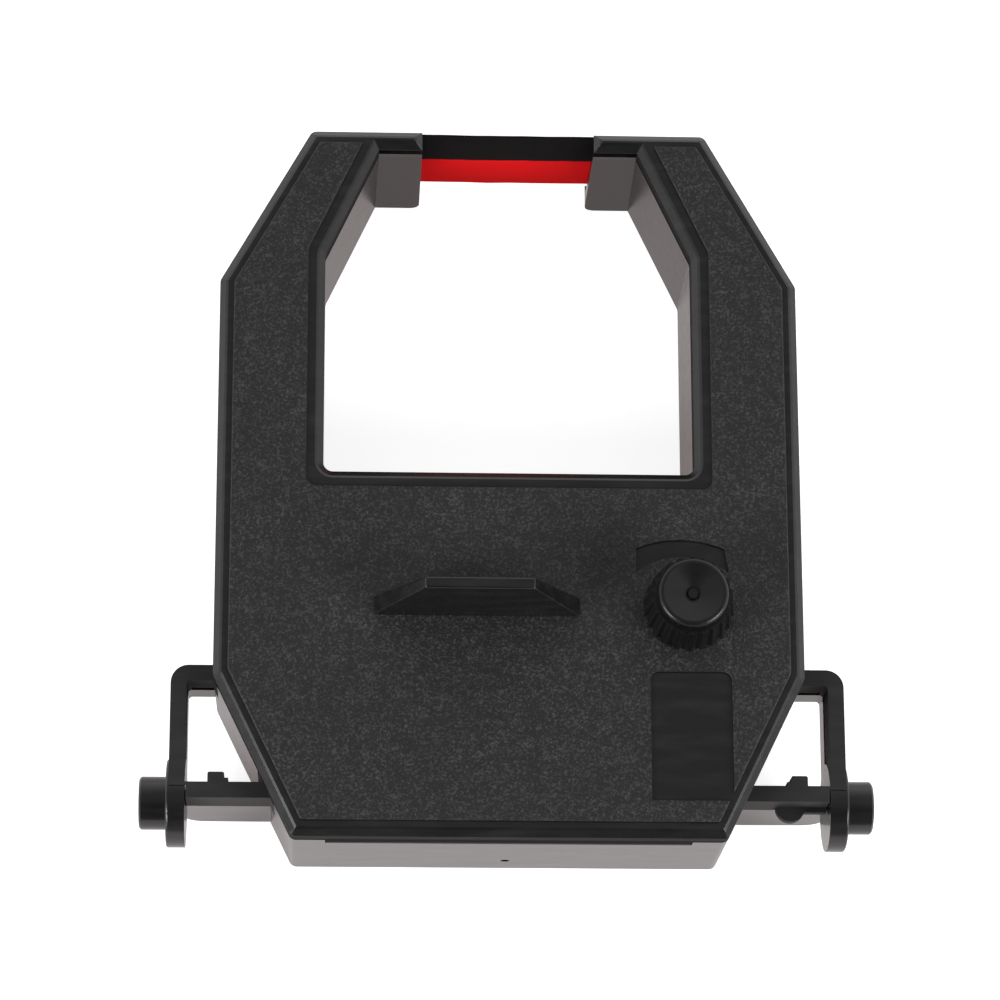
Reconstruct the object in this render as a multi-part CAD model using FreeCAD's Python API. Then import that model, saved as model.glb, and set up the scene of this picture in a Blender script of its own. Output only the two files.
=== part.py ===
import FreeCAD, Part
import math
import os

from FreeCAD import Vector

# Printer ribbon cartridge, in millimetres.
# X runs along the exposed ribbon, +Y from the front wall to the ribbon, +Z up from the tray's underside.
# The origin is under the middle of the body, on the surface that the tray rests on.

# Body outline, seen from above
BODY_WIDTH = 58.7
BODY_LENGTH = 73.8
FRONT_Y = -BODY_LENGTH / 2
REAR_Y = BODY_LENGTH / 2
FRONT_WIDTH = 42.9
SHOULDER_Y = REAR_Y - 16.4
CORNER_Y = FRONT_Y + 16.2
CORNER_ROUND = 0.8
FLANK_ROUND = 1.6

# Window between the arms
WINDOW_WIDTH = 37.4
WINDOW_FRONT_Y = FRONT_Y + 37.23
WINDOW_BEND_Y = REAR_Y - 13.5
WINDOW_REAR_WIDTH = 26.6
TIP_DEPTH = 1.9
TIP_ARM = 6.9
WINDOW_ROUND = 1.0
TIP_GAP = 17.7

# Heights and walls of the two shells
FLOOR = 1.2
WALL = 1.4
INNER_WALL = 1.2
REAR_WALL = 1.0
SEAM_Z = 13.7
CEILING_Z = 15.4
BAND_Z = 16.3
PANEL_RISE = 0.3
EDGE_Z = 15.6
RIDGE_INSET = 0.6
RIDGE_Z = 16.15
RIM_BEVEL = 0.85
RIM_CORNER = 0.08
BAND_OUTER = 1.45
BAND_INNER = 1.7
PANEL_EDGE = 0.12
PANEL_ROUND = 0.4

# Ribbon noses at the arm tips
PAD_THICK = 0.7
PAD_TOP_Z = 14.4
PAD_ROUND = 1.0
PAD_DRAFT = 0.45
NOSE_RADIUS = 0.7
NOSE_SET = 0.85
REAR_WALL_REACH = 2.7

# Lip tongue and gate mark on the front wall
TONGUE_WIDTH = 36.0
TONGUE_DROP = 1.3
GATE_RADIUS = 0.45
GATE_DEPTH = 0.25
GATE_Z = 3.9

# Grip fin
FIN_X = -3.3
FIN_Y = FRONT_Y + 23.1
FIN_BASE_LENGTH = 20.8
FIN_BASE_THICK = 2.0
FIN_TOP_LENGTH = 10.6
FIN_TOP_THICK = 1.15
FIN_HEIGHT = 9.0
FIN_ROUND = 0.25

# Label recess
LABEL_X = 17.95
LABEL_REAR_Y = FRONT_Y + 16.6
LABEL_WIDTH = 8.1
LABEL_LENGTH = 13.0
LABEL_ROUND = 0.9

# Turning mark, a curved recess beside the knob
MARK_LEFT_X = -5.15
MARK_RIGHT_X = 3.7
MARK_OUTER_Y = 7.0
MARK_OUTER_END_Y = 6.1
MARK_INNER_Y = 5.25
MARK_INNER_END_Y = 3.6
MARK_LEAN = 0.4

# Feed roller and knob
DRIVE_X = 17.75
DRIVE_Y = FRONT_Y + 23.15
ROLLER_RADIUS = 4.2
FLUTES = 24
FLUTE_DEPTH = 0.24
FLUTE_RADIUS = 0.36
GROOVE_RADIUS = 3.2
GROOVE_HEIGHT = 1.2
GROOVE_LEVELS = (5.0, 11.5)
JOURNAL_RADIUS = 2.6
JOURNAL_LIFT = 0.3
ROLLER_BOTTOM_Z = 1.5
ROLLER_TOP_Z = 15.0
SOCKET_FLATS = 3.2
SOCKET_DEPTH = 6.0
STEM_RADIUS = 2.1
STEM_FLAT = 1.5
STEM_BOTTOM_Z = 8.5
KNOB_GAP = 0.2
KNOB_BASE_RADIUS = 4.5
KNOB_TOP_RADIUS = 4.0
KNOB_HEIGHT = 5.9
KNOB_SHOULDER = 1.5
KNOB_CAP_RADIUS = 3.5
KNOB_CAP_ROUND = 0.45
KNOB_FACE_RADIUS = 2.95
KNOB_DISH = 0.85
KNOB_NUB_RADIUS = 0.5
KNOB_NUB_HEIGHT = 0.3
KNURLS = 22
KNURL_RADIUS = 0.42
KNURL_BITE = 0.3

# Fits
JOURNAL_CLEARANCE = 0.06
AXLE_CLEARANCE = 0.05
SLEEVE_CLEARANCE = 0.06
PIVOT_CLEARANCE = 0.06
SLOT_CLEARANCE = 0.1
NIP_CLEARANCE = 0.275
RIBBON_CLEARANCE = 0.2
END_CLEARANCE = 0.2

# Ribbon
RIBBON_WIDTH = 13.0
RIBBON_THICK = 0.15
RIBBON_BOTTOM_Z = 2.2
RIGHT_RUN_INSET = 3.15
FOLDS = 12
FOLD_PITCH = 1.05
FOLD_FRONT_Y = FRONT_Y + 5.3
FOLD_REAR_Y = WINDOW_FRONT_Y - 4.73
FOLD_WANDER = 1.3
FOLD_PHASE = 1.9
PACK_ENTRY_X = 8.6

# Guide sleeves and posts
TIP_ROLLER_REACH = 4.5
TIP_ROLLER_Y = REAR_Y - 3.3
SLEEVE_RADIUS = 1.6
SLEEVE_POST_RADIUS = 0.85
SLEEVE_BOTTOM_Z = 1.5
SLEEVE_TOP_Z = 14.6
SLEEVE_CHAMFER = 0.2
POST_TOP_Z = 15.1
GUIDE_POST_RADIUS = 1.4
SHOULDER_POST_INSET = 6.95
SHOULDER_POST_Y = SHOULDER_Y + 1.0
EXIT_POST_X = -19.5
EXIT_POST_Y = WINDOW_FRONT_Y - 5.83
ARM_POST_Y = WINDOW_FRONT_Y - 1.13

# Pressure roller on its fork
HUB_RADIUS = 2.6
AXLE_RADIUS = 1.0
AXLE_CHAMFER = 0.2
ARM_REACH = 6.65
PIVOT_POST_RADIUS = 0.9
PIVOT_SLEEVE_RADIUS = 1.65
FORK_PLATE = 1.0
FORK_BOTTOM_Z = 1.5
FORK_TOP_Z = 14.9
FORK_WEB = 1.0
FORK_WEB_GAP = 0.6
FORK_WEB_HALF = 4.0
FORK_WEB_INSET = 0.8
FORK_NOSE = 1.6
FORK_RIM = 0.9
FORK_ROUND = 0.6

# Leaf springs and pad
LEAF_THICK = 0.25
LEAF_HEIGHT = 9.0
LEAF_BOTTOM_Z = 3.5
LEAF_BEND = 0.4
PINCH_LEAF_GAP = 0.3
PINCH_LEAF_REST = 0.3
PINCH_LEAF_CROWN = 2.6
PINCH_LEAF_FOOT = 7.0
LEAF_STOP = 0.9
STOP_HALF = 0.4
STOP_REACH = 1.5
DRAG_LEG_FRONT = 2.2
DRAG_LEG_REAR = 6.2
PAD_WIDTH = 4.6
PAD_Y = WINDOW_FRONT_Y + 6.67
PAD_GAP = 0.15
PAD_DEPTH = 1.3
RIB_GAP = 0.9
RIB_WIDTH = 1.2

# Divider and stripper
DIVIDER_X = 11.4
DIVIDER_THICK = 1.0
DIVIDER_MOUTH = 1.5
FINGER_REACH = 3.3
FINGER_THICK = 0.6
FINGER_HEIGHT = 0.8

# Snap pins that hold the cover
BOSS_RADIUS = 1.5
SNAP_RADIUS = 0.7
SNAP_DEPTH = 4.0
SNAP_END_GAP = 0.5
SNAP_INSET = 3.0

# Pivot bracket on each side
BRACKET_OUT_X = 33.6
BRACKET_THICK = 1.6
BRACKET_REAR_Y = CORNER_Y + 1.65
BRACKET_ROUND = 1.8
BRACKET_BEND = 0.4
CROSSBAR_HEEL = 2.0
CROSSBAR_REAR_Y = FRONT_Y + 6.0
BRACKET_BOTTOM_Z = 5.7
CROSSBAR_BOTTOM_Z = 1.1
BRACKET_SEAM_Z = 8.6
PIN_Y = FRONT_Y + 4.7
PIN_Z = 8.3
PIN_RADIUS = 2.65
PIN_LENGTH = 2.7
PIN_CHAMFER = 0.2
EYE_RADIUS = 4.4
EYE_PROUD = 0.3
EYE_ROUND = 0.27
TAB_MARGIN = 0.8
PEG_WIDTH = 1.65
PEG_REACH = 1.0
PEG_DROP = 2.5
PEG_OFFSET = 4.65
PEG_FOOT = 0.4
PEG_ROUND = 0.2
HOOK_RADIUS = 1.45
HOOK_TOP_Z = 9.9
HOOK_THICK = 1.0
HOOK_OFFSET = 5.3
HOOK_LEDGE = 0.5
BRACKET_GROOVE = 0.9
BRACKET_GROOVE_DEPTH = 0.5

# Allowances for joining, cutting and picking edges
OVERLAP = 0.2
OVERCUT = 1.0
TOUCH = 0.01
POST_FOOT_Z = 0.5

# Values that follow from those above
TIP_WIDTH = WINDOW_REAR_WIDTH + 2 * TIP_ARM
WINDOW_REAR_Y = REAR_Y - TIP_DEPTH
WIN_HALF = WINDOW_WIDTH / 2
PANEL_Z = BAND_Z + PANEL_RISE
NOSE_X = TIP_GAP / 2 + NOSE_RADIUS
NOSE_Y = WINDOW_REAR_Y + NOSE_SET
REAR_WALL_END_X = WINDOW_REAR_WIDTH / 2 + REAR_WALL_REACH
TIP_ROLLER_X = WINDOW_REAR_WIDTH / 2 + TIP_ROLLER_REACH
SHOULDER_POST_X = BODY_WIDTH / 2 - SHOULDER_POST_INSET
RIGHT_RUN_X = BODY_WIDTH / 2 - RIGHT_RUN_INSET
LEFT_RUN_X = -(WIN_HALF + INNER_WALL + BODY_WIDTH / 2 - WALL) / 2
NIP_Y = DRIVE_Y - ROLLER_RADIUS - NIP_CLEARANCE - RIBBON_THICK / 2
IDLER_Y = NIP_Y - RIBBON_THICK / 2 - NIP_CLEARANCE - ROLLER_RADIUS
PIVOT_X = DRIVE_X + ARM_REACH
BRACKET_TOP_Z = PIN_Z + EYE_RADIUS
WRAP = RIBBON_CLEARANCE + RIBBON_THICK / 2


# Outlines and basic solids

def inset(corners, distances):
    """Move every edge of a counter-clockwise outline inwards by its own distance."""
    count = len(corners)
    if not isinstance(distances, (list, tuple)):
        distances = [distances] * count
    lines = []
    for i, (x, y) in enumerate(corners):
        nx, ny = corners[(i + 1) % count]
        length = math.hypot(nx - x, ny - y)
        ux, uy = (nx - x) / length, (ny - y) / length
        lines.append((x - uy * distances[i], y + ux * distances[i], ux, uy))
    moved = []
    for i in range(count):
        ax, ay, aux, auy = lines[i - 1]
        bx, by, bux, buy = lines[i]
        t = ((bx - ax) * buy - (by - ay) * bux) / (aux * buy - auy * bux)
        moved.append((ax + aux * t, ay + auy * t))
    return moved


def outline(corners, rounds, z=0.0):
    """Close a wire through the corners, each replaced by a tangent arc of its own radius."""
    count = len(corners)
    if not isinstance(rounds, (list, tuple)):
        rounds = [rounds] * count
    stations = []
    for i, (x, y) in enumerate(corners):
        here = Vector(x, y, z)
        to_last = (Vector(*corners[i - 1], z) - here).normalize()
        to_next = (Vector(*corners[(i + 1) % count], z) - here).normalize()
        half = to_last.getAngle(to_next) / 2
        if rounds[i] <= 0:
            stations.append((here, None, here))
            continue
        back_off = rounds[i] / math.tan(half)
        middle = (to_last + to_next).normalize()
        centre = here + middle * (rounds[i] / math.sin(half))
        stations.append((here + to_last * back_off, centre - middle * rounds[i], here + to_next * back_off))
    edges = []
    for i, (start, crown, end) in enumerate(stations):
        if crown is not None:
            edges.append(Part.Arc(start, crown, end).toShape())
        edges.append(Part.LineSegment(end, stations[(i + 1) % count][0]).toShape())
    return Part.Wire(edges)


def prism(corners, rounds, bottom, top):
    face = Part.Face(outline(corners, rounds, bottom))
    return face.extrude(Vector(0, 0, top - bottom))


def box(x0, x1, y0, y1, z0, z1):
    return Part.makeBox(x1 - x0, y1 - y0, z1 - z0, Vector(x0, y0, z0))


def post(x, y, bottom, top, radius):
    return Part.makeCylinder(radius, top - bottom, Vector(x, y, bottom))


def mirrored(shape):
    return shape.mirror(Vector(0, 0, 0), Vector(1, 0, 0))


def octagon():
    """Outer outline of the body without the window, counter-clockwise from the front left corner."""
    right = [(FRONT_WIDTH / 2, FRONT_Y), (BODY_WIDTH / 2, CORNER_Y),
             (BODY_WIDTH / 2, SHOULDER_Y), (TIP_WIDTH / 2, REAR_Y)]
    left = [(-x, y) for x, y in reversed(right)]
    return [left[-1]] + right + left[:-1]


def octagon_rounds(radius=CORNER_ROUND, flank=FLANK_ROUND):
    return [radius, radius, flank, radius, radius, radius, radius, flank]


def window():
    """Outline of the open window, counter-clockwise from its front left corner."""
    return [(-WIN_HALF, WINDOW_FRONT_Y), (WIN_HALF, WINDOW_FRONT_Y), (WIN_HALF, WINDOW_BEND_Y),
            (WINDOW_REAR_WIDTH / 2, WINDOW_REAR_Y), (-WINDOW_REAR_WIDTH / 2, WINDOW_REAR_Y),
            (-WIN_HALF, WINDOW_BEND_Y)]


def c_outline():
    """Outer outline, tips and window as one closed outline, counter-clockwise from the front left corner."""
    tip = TIP_GAP / 2
    outer = octagon()
    opening = window()
    return (outer[:5] + [(tip, REAR_Y), (tip, WINDOW_REAR_Y), opening[3], opening[2], opening[1], opening[0],
                         opening[5], opening[4], (-tip, WINDOW_REAR_Y), (-tip, REAR_Y)] + outer[5:])


def c_rounds(outer, flank, tip, bend):
    """Corner radii of the C: outer corners, front flank corners, tips, and the window's hollow bends."""
    return [outer, outer, flank, outer, outer, tip, tip, 0, bend, bend, bend, bend, 0, tip, tip,
            outer, outer, flank]


def window_prism(grow, bottom, top, radius=WINDOW_ROUND):
    grown = inset(window(), [-grow] * 6)
    return prism(grown, [radius, radius, radius, 0, 0, radius], bottom, top)


def tip_gap(bottom, top):
    return box(-TIP_GAP / 2, TIP_GAP / 2, WINDOW_REAR_Y - OVERCUT, REAR_Y + OVERCUT, bottom, top)


def body_block(bottom, top):
    """The C-shaped body as a full block: octagon less the window and the gap between the tips."""
    block = prism(octagon(), octagon_rounds(), bottom, top)
    low, high = bottom - OVERCUT, top + OVERCUT
    return block.cut([window_prism(0, low, high), tip_gap(low, high)])


def chamber(bottom, top):
    """The room inside the walls, which stops short of the window's own wall."""
    walls = [WALL, WALL, WALL, WALL, REAR_WALL, WALL, WALL, WALL]
    room = prism(inset(octagon(), walls), octagon_rounds(CORNER_ROUND / 2), bottom, top)
    grow = [-INNER_WALL, -INNER_WALL, -INNER_WALL, -PAD_THICK, -INNER_WALL, -INNER_WALL]
    keep = prism(inset(window(), grow), 0, bottom - OVERCUT, top + OVERCUT)
    return room.cut(keep)


def wall_ring(bottom, top):
    """The outer wall alone, used where the cover's tabs stand in the tray's wall."""
    outer = prism(octagon(), octagon_rounds(), bottom, top)
    inner = prism(inset(octagon(), WALL), octagon_rounds(CORNER_ROUND / 2), bottom - OVERCUT, top + OVERCUT)
    return outer.cut(inner)


# Pivot brackets, built on the right and mirrored

def bracket_bars(bar_bottom, cross_bottom, top):
    """Top bar, side bar and crossbar of the right bracket between two heights."""
    inner_x = BRACKET_OUT_X - BRACKET_THICK
    root_x = BODY_WIDTH / 2 - WALL
    bend_y = BRACKET_REAR_Y - BRACKET_THICK
    hook = [(root_x, bend_y), (inner_x, bend_y), (inner_x, PIN_Y), (BRACKET_OUT_X, PIN_Y),
            (BRACKET_OUT_X, BRACKET_REAR_Y), (root_x, BRACKET_REAR_Y)]
    bars = prism(hook, [0, BRACKET_BEND, 0, 0, BRACKET_ROUND, 0], bar_bottom, top)
    cross = box(FRONT_WIDTH / 2, inner_x + OVERLAP, CROSSBAR_REAR_Y - BRACKET_THICK, CROSSBAR_REAR_Y,
                cross_bottom, top)
    if cross_bottom < bar_bottom:
        low = [e for e in cross.Edges if e.BoundBox.ZMax < cross_bottom + TOUCH]
        heel = [e for e in low if e.BoundBox.XMin > inner_x]
        cross = cross.makeFillet(CROSSBAR_HEEL, heel)
    inside = prism(inset(octagon(), WALL), 0, min(bar_bottom, cross_bottom) - OVERCUT, top + OVERCUT)
    return bars.fuse(cross).cut(inside)


def tab_zones(margin):
    """Boxes round the roots of the right bracket's two bars."""
    top_zone = (BRACKET_REAR_Y - BRACKET_THICK - margin, BRACKET_REAR_Y + margin)
    cross_zone = (CROSSBAR_REAR_Y - BRACKET_THICK - margin, CROSSBAR_REAR_Y + margin)
    zones = []
    for low, high in (top_zone, cross_zone):
        zones.append(box(FRONT_WIDTH / 2, BODY_WIDTH / 2 + OVERCUT, low, high, BRACKET_SEAM_Z,
                         SEAM_Z + OVERCUT))
    return zones[0].fuse(zones[1])


def eye_and_pin():
    """Round end of the side bar with the pivot pin that points outwards."""
    face_x = BRACKET_OUT_X + EYE_PROUD
    root = Vector(BRACKET_OUT_X - BRACKET_THICK, PIN_Y, PIN_Z)
    along = Vector(1, 0, 0)
    eye = Part.makeCylinder(EYE_RADIUS, face_x - root.x, root, along)
    rim = [e for e in eye.Edges if e.BoundBox.XMin > BRACKET_OUT_X]
    eye = eye.makeFillet(EYE_ROUND, rim)
    pin = Part.makeCylinder(PIN_RADIUS, face_x + PIN_LENGTH - root.x, root, along)
    tip = [e for e in pin.Edges if e.BoundBox.XMin > face_x]
    pin = pin.makeChamfer(PIN_CHAMFER, tip)
    return eye.fuse(pin)


def eye_room():
    """Clearance for the tray's eye in the cover's half of the bracket."""
    start = Vector(BRACKET_OUT_X - BRACKET_THICK - SLOT_CLEARANCE, PIN_Y, PIN_Z)
    width = BRACKET_THICK + SLOT_CLEARANCE + OVERCUT
    return Part.makeCylinder(EYE_RADIUS + SLOT_CLEARANCE, width, start, Vector(1, 0, 0))


def bracket_groove():
    """Shadow groove between the halves, along the faces of the top bar and side bar that face the loop."""
    inner_x = BRACKET_OUT_X - BRACKET_THICK
    face_y = BRACKET_REAR_Y - BRACKET_THICK
    top_z = BRACKET_SEAM_Z + BRACKET_GROOVE
    along_top = box(BODY_WIDTH / 2, inner_x + BRACKET_GROOVE_DEPTH, face_y, face_y + BRACKET_GROOVE_DEPTH,
                    BRACKET_SEAM_Z, top_z)
    along_side = box(inner_x, inner_x + BRACKET_GROOVE_DEPTH, CROSSBAR_REAR_Y, face_y, BRACKET_SEAM_Z, top_z)
    return along_top.fuse(along_side)


def locating_peg():
    """Upright peg on the rear face of the crossbar, with a small foot towards the body."""
    right = BRACKET_OUT_X - PEG_OFFSET + PEG_WIDTH / 2
    left = right - PEG_WIDTH
    foot_y = CROSSBAR_REAR_Y + PEG_FOOT
    end_y = CROSSBAR_REAR_Y + PEG_REACH
    face = [(left - PEG_FOOT, CROSSBAR_REAR_Y), (right, CROSSBAR_REAR_Y), (right, end_y),
            (left, end_y), (left, foot_y), (left - PEG_FOOT, foot_y)]
    return prism(face, [0, 0, PEG_ROUND, PEG_ROUND, 0, 0], BRACKET_TOP_Z - PEG_DROP, BRACKET_TOP_Z)


def upper_bracket():
    bars = bracket_bars(BRACKET_SEAM_Z, BRACKET_SEAM_Z, BRACKET_TOP_Z).cut([eye_room(), bracket_groove()])
    tabs = wall_ring(BRACKET_SEAM_Z, SEAM_Z + OVERLAP).common(tab_zones(TAB_MARGIN))
    return bars.fuse([tabs, locating_peg()])


def front_hook():
    """Half-round lug on the front of the right crossbar, with a ledge that runs on to the side bar."""
    hook_x = BRACKET_OUT_X - HOOK_OFFSET
    face_y = CROSSBAR_REAR_Y - BRACKET_THICK
    bottom_z = HOOK_TOP_Z - HOOK_THICK
    lug = post(hook_x, face_y, bottom_z, HOOK_TOP_Z, HOOK_RADIUS)
    ledge = box(hook_x, BRACKET_OUT_X - BRACKET_THICK - SLOT_CLEARANCE, face_y - HOOK_LEDGE, face_y + OVERLAP,
                bottom_z, HOOK_TOP_Z)
    return lug.fuse(ledge)


# Tray

def guide_posts():
    """Fixed posts for the guide sleeves and the bare posts that the ribbon slides round."""
    sleeved = [(-TIP_ROLLER_X, TIP_ROLLER_Y), (TIP_ROLLER_X, TIP_ROLLER_Y), entry_centre()]
    bare = [(-SHOULDER_POST_X, SHOULDER_POST_Y), (SHOULDER_POST_X, SHOULDER_POST_Y),
            (EXIT_POST_X, EXIT_POST_Y), (arm_post_x(), ARM_POST_Y)]
    posts = [post(x, y, POST_FOOT_Z, POST_TOP_Z, SLEEVE_POST_RADIUS) for x, y in sleeved]
    posts += [post(x, y, POST_FOOT_Z, SEAM_Z, GUIDE_POST_RADIUS) for x, y in bare]
    posts.append(post(PIVOT_X, IDLER_Y, POST_FOOT_Z, POST_TOP_Z, PIVOT_POST_RADIUS))
    return posts


def entry_centre():
    turn = SLEEVE_RADIUS + WRAP
    return RIGHT_RUN_X - turn, NIP_Y + turn


def arm_post_x():
    return LEFT_RUN_X + GUIDE_POST_RADIUS + WRAP


def divider():
    """Wall between the feed rollers and the folding chamber, with the mouth that the ribbon enters."""
    far_x = DIVIDER_X + DIVIDER_THICK
    wall = box(DIVIDER_X, far_x, FRONT_Y + WALL / 2, WINDOW_FRONT_Y - INNER_WALL / 2, FLOOR / 2, SEAM_Z)
    mouth = box(DIVIDER_X - OVERCUT, far_x + OVERCUT, NIP_Y - DIVIDER_MOUTH, NIP_Y + DIVIDER_MOUTH,
                FLOOR, SEAM_Z + OVERCUT)
    return wall.cut(mouth)


def spring_stops():
    """Small ribs that hold the ends of the two leaf springs, and one that backs the ribbon at the pad."""
    leaf_top = LEAF_BOTTOM_Z + LEAF_HEIGHT
    wall_y = FRONT_Y + WALL
    wall_x = -BODY_WIDTH / 2 + WALL
    back_x = -WIN_HALF - INNER_WALL
    foot_x = pinch_foot_x() + PINCH_LEAF_FOOT + PINCH_LEAF_GAP
    stops = [box(foot_x, foot_x + 2 * STOP_HALF, wall_y - OVERLAP, wall_y + STOP_REACH,
                 POST_FOOT_Z, leaf_top)]
    for y in (drag_legs()[0] - LEAF_STOP, drag_legs()[1] + LEAF_STOP):
        stops.append(box(wall_x - OVERLAP, wall_x + LEAF_STOP, y - STOP_HALF, y + STOP_HALF,
                         POST_FOOT_Z, leaf_top))
    stops.append(box(LEFT_RUN_X + RIB_GAP, back_x + OVERLAP, PAD_Y - RIB_WIDTH / 2, PAD_Y + RIB_WIDTH / 2,
                     POST_FOOT_Z, leaf_top))
    return stops


def snap_places():
    """Centres of the four snap pins: one in each arm and two at the front wall."""
    arm_x = WIN_HALF + SNAP_INSET
    front_x = pinch_middle_x()
    front_y = FRONT_Y + WALL + BOSS_RADIUS - OVERLAP
    return ((arm_x, PAD_Y + SNAP_INSET), (-arm_x, SHOULDER_Y - SNAP_INSET),
            (front_x, front_y), (-front_x, front_y))


def base_tray():
    """Tray with its ribbon noses, posts, lower bracket halves and pivot pins."""
    tray = body_block(0, SEAM_Z).cut(chamber(FLOOR, SEAM_Z + OVERCUT))
    pad_rear = WINDOW_REAR_Y + PAD_THICK
    behind_pads = box(-REAR_WALL_END_X, REAR_WALL_END_X, pad_rear, REAR_Y + OVERCUT, FLOOR, SEAM_Z + OVERCUT)
    slots = tab_zones(TAB_MARGIN + SLOT_CLEARANCE)
    tray = tray.cut([behind_pads, slots, mirrored(slots)])
    right = [box(TIP_GAP / 2, WINDOW_REAR_WIDTH / 2, WINDOW_REAR_Y, pad_rear, SEAM_Z - OVERCUT, PAD_TOP_Z),
             pad_draft(), post(NOSE_X, NOSE_Y, POST_FOOT_Z, PAD_TOP_Z, NOSE_RADIUS),
             bracket_bars(BRACKET_BOTTOM_Z, CROSSBAR_BOTTOM_Z, BRACKET_SEAM_Z), eye_and_pin()]
    left = [mirrored(piece) for piece in right]
    tray = tray.fuse(right + left + [divider()] + guide_posts() + spring_stops())
    corner = tip_corner()
    tray = tray.cut([corner, mirrored(corner)])
    for x, y in snap_places():
        tray = tray.fuse(post(x, y, POST_FOOT_Z, SEAM_Z, BOSS_RADIUS))
        socket_bottom = SEAM_Z - SNAP_DEPTH - SNAP_END_GAP
        tray = tray.cut(post(x, y, socket_bottom, SEAM_Z + OVERCUT, SNAP_RADIUS + SLOT_CLEARANCE))
    bearing = post(DRIVE_X, DRIVE_Y, -OVERCUT, FLOOR + OVERCUT, JOURNAL_RADIUS + JOURNAL_CLEARANCE)
    gate_start = Vector(0, FRONT_Y - OVERCUT, GATE_Z)
    gate = Part.makeCylinder(GATE_RADIUS, GATE_DEPTH + OVERCUT, gate_start, Vector(0, 1, 0))
    return tray.cut([bearing, tongue(SLOT_CLEARANCE, SEAM_Z + OVERCUT), gate]).removeSplitter()


def tongue(clearance, top):
    """Lip of the cover that drops into the front wall, or with a clearance the room for it."""
    half = TONGUE_WIDTH / 2 + clearance
    return box(-half, half, FRONT_Y - clearance, FRONT_Y + WALL / 2 + clearance,
               SEAM_Z - TONGUE_DROP - clearance, top)


def pad_draft():
    """Wedge that makes the right pad's face lean out towards its foot."""
    x = TIP_GAP / 2
    top = Vector(x, WINDOW_REAR_Y, SEAM_Z)
    foot = Vector(x, WINDOW_REAR_Y, 0)
    lean = Vector(x, WINDOW_REAR_Y - PAD_DRAFT, 0)
    face = Part.Face(Part.makePolygon([top, foot, lean, top]))
    return face.extrude(Vector(WINDOW_REAR_WIDTH / 2 + PAD_DRAFT / 2 - x, 0, 0))


def tip_corner():
    """Rounds the free lower corner of the pad's front wall at the right arm tip."""
    x = TIP_GAP / 2
    front_y = WINDOW_REAR_Y - OVERCUT
    length = REAR_Y + OVERCUT - front_y
    block = box(x - OVERCUT, x + PAD_ROUND, front_y, front_y + length, -OVERCUT, PAD_ROUND)
    keep = Part.makeCylinder(PAD_ROUND, length, Vector(x + PAD_ROUND, front_y, PAD_ROUND), Vector(0, 1, 0))
    return block.cut(keep)


# Cover

def shell_plate():
    """Lid plate: an upright skirt, a bevel up to the border band, and a softer facet between the two."""
    skirt = prism(c_outline(), c_rounds(CORNER_ROUND, FLANK_ROUND, 0, WINDOW_ROUND), SEAM_Z, EDGE_Z)
    sections = [outline(c_outline(), c_rounds(CORNER_ROUND, FLANK_ROUND, RIM_CORNER, WINDOW_ROUND), EDGE_Z)]
    for depth, z in ((RIDGE_INSET, RIDGE_Z), (RIM_BEVEL, BAND_Z)):
        rounds = c_rounds(RIM_CORNER, FLANK_ROUND - depth, RIM_CORNER, WINDOW_ROUND + depth)
        sections.append(outline(inset(c_outline(), depth), rounds, z))
    return skirt.fuse(Part.makeLoft(sections, True, True))


def panel():
    """Raised grained panel inside the smooth border."""
    raised = prism(inset(octagon(), BAND_OUTER), octagon_rounds(PANEL_ROUND), BAND_Z - OVERLAP, PANEL_Z)
    raised = raised.cut(window_prism(BAND_INNER, BAND_Z - OVERCUT, PANEL_Z + OVERCUT))
    top = [e for e in raised.Edges if e.BoundBox.ZMin > PANEL_Z - TOUCH]
    return raised.makeChamfer(PANEL_EDGE, top)


def grip_fin():
    """Trapezoid tab that leans in on all four sides."""
    sections = ((PANEL_Z - OVERLAP, FIN_BASE_LENGTH, FIN_BASE_THICK),
                (PANEL_Z + FIN_HEIGHT, FIN_TOP_LENGTH, FIN_TOP_THICK))
    wires = []
    for z, length, thick in sections:
        corners = [(FIN_X - length / 2, FIN_Y - thick / 2), (FIN_X + length / 2, FIN_Y - thick / 2),
                   (FIN_X + length / 2, FIN_Y + thick / 2), (FIN_X - length / 2, FIN_Y + thick / 2)]
        wires.append(outline(corners, 0, z))
    fin = Part.makeLoft(wires, True, True)
    edges = [e for e in fin.Edges if e.BoundBox.ZMax > PANEL_Z]
    return fin.makeFillet(FIN_ROUND, edges)


def label_recess():
    """Flat recess with two rounded rear corners, down to the level of the border."""
    x0, x1 = LABEL_X - LABEL_WIDTH / 2, LABEL_X + LABEL_WIDTH / 2
    y0, y1 = LABEL_REAR_Y - LABEL_LENGTH, LABEL_REAR_Y
    corners = [(x0, y0), (x1, y0), (x1, y1), (x0, y1)]
    return prism(corners, [0, 0, LABEL_ROUND, LABEL_ROUND], BAND_Z, PANEL_Z + OVERCUT)


def turning_mark():
    """Curved recess between two arcs, beside the knob."""
    def at(x, y):
        return Vector(DRIVE_X + x, DRIVE_Y + y, BAND_Z)
    middle = (MARK_LEFT_X + MARK_RIGHT_X) / 2
    outer_ends = at(MARK_LEFT_X, MARK_OUTER_END_Y), at(MARK_RIGHT_X, MARK_OUTER_END_Y)
    inner_ends = at(MARK_LEFT_X, MARK_INNER_END_Y), at(MARK_RIGHT_X + MARK_LEAN, MARK_INNER_END_Y)
    curves = [Part.Arc(outer_ends[0], at(middle, MARK_OUTER_Y), outer_ends[1]),
              Part.LineSegment(outer_ends[1], inner_ends[1]),
              Part.Arc(inner_ends[1], at(middle, MARK_INNER_Y), inner_ends[0]),
              Part.LineSegment(inner_ends[0], outer_ends[0])]
    wire = Part.Wire([curve.toShape() for curve in curves])
    return Part.Face(wire).extrude(Vector(0, 0, PANEL_RISE + OVERCUT))


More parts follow.
